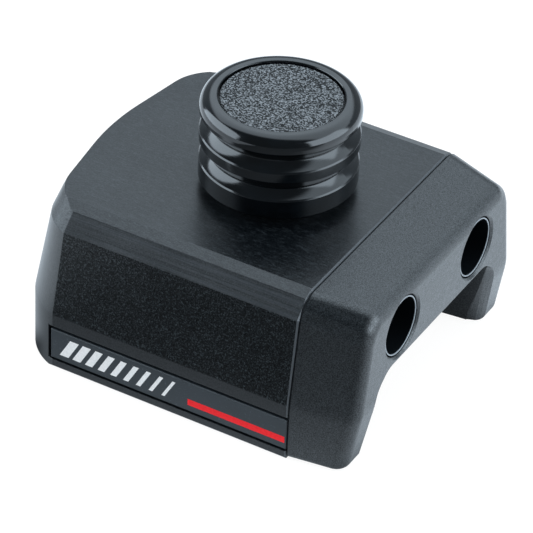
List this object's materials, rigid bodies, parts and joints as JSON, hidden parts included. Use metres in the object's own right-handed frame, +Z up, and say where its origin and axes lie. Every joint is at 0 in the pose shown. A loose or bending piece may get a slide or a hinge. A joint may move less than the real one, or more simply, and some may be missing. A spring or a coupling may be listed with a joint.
{
  "type": "track pin stop",
  "caption": "Sail-track pin stop: dark chamfered body with swept nose, legged end cap with deep round holes, side label strips and a ribbed pull knob on a sprung pin.",
  "frame": {"origin": "on the plane of the feet, directly under the axis of the plunger pin", "axes": "+Z up along the plunger axis, +X along the track towards the end cap, +Y across the track"},
  "size_m": [0.062, 0.0542, 0.0442],
  "materials": {
    "body_anodised": "satin black hard anodised, fine lengthwise grain",
    "cap_nylon": "moulded, fine spark-eroded texture",
    "stainless": "machined",
    "screw_cups": "black oxide",
    "screws_black": "black oxide",
    "liner": "low-friction acetal",
    "label": "printed strip, satin",
    "stripe_red": "printed red",
    "hatch_white": "printed white",
    "bronze": "turned bronze",
    "housing_black": "black anodised",
    "seal_rubber": "matte",
    "spring_steel": "drawn wire",
    "pin_steel": "ground",
    "knob_gloss": "polished gloss black",
    "inset_grain": "coarse pebble grain"
  },
  "bodies": {
    "stop_body": {"body": "body_anodised", "end_cap": "cap_nylon", "body_thread_inserts": "stainless", "cap_screw_cups": "screw_cups", "cap_screws": "screws_black", "slider_liner_right": "liner", "slider_liner_left": "liner", "label_strip_right": "label", "label_stripe_right": "stripe_red", "label_hatch_right": "hatch_white", "label_strip_left": "label", "label_stripe_left": "stripe_red", "label_hatch_left": "hatch_white", "pin_guide_bush": "bronze", "plunger_housing": "housing_black", "housing_seal": "seal_rubber", "stem_wiper": "liner", "plunger_spring": "spring_steel"},
    "spring_seat": {"spring_seat_washer": "stainless"},
    "plunger": {"plunger_pin": "pin_steel", "retaining_ring": "stainless", "knob": "knob_gloss", "knob_insert": "stainless", "knob_screw": "stainless", "knob_screw_washer": "stainless", "knob_inset_disc": "inset_grain"}
  },
  "joints": [
    {"name": "plunger_lift", "type": "slide", "parent": "stop_body", "child": "spring_seat", "axis": [0, 0, 1], "range_m": [0, 0.0086], "stiffness_N_per_m": 1400, "springref_m": -0.004, "deforming": ["plunger_spring"]},
    {"name": "knob_spin", "type": "hinge", "parent": "spring_seat", "child": "plunger", "pos_m": [0, 0, 0.019], "axis": [0, 0, 1], "continuous": true}
  ]
}
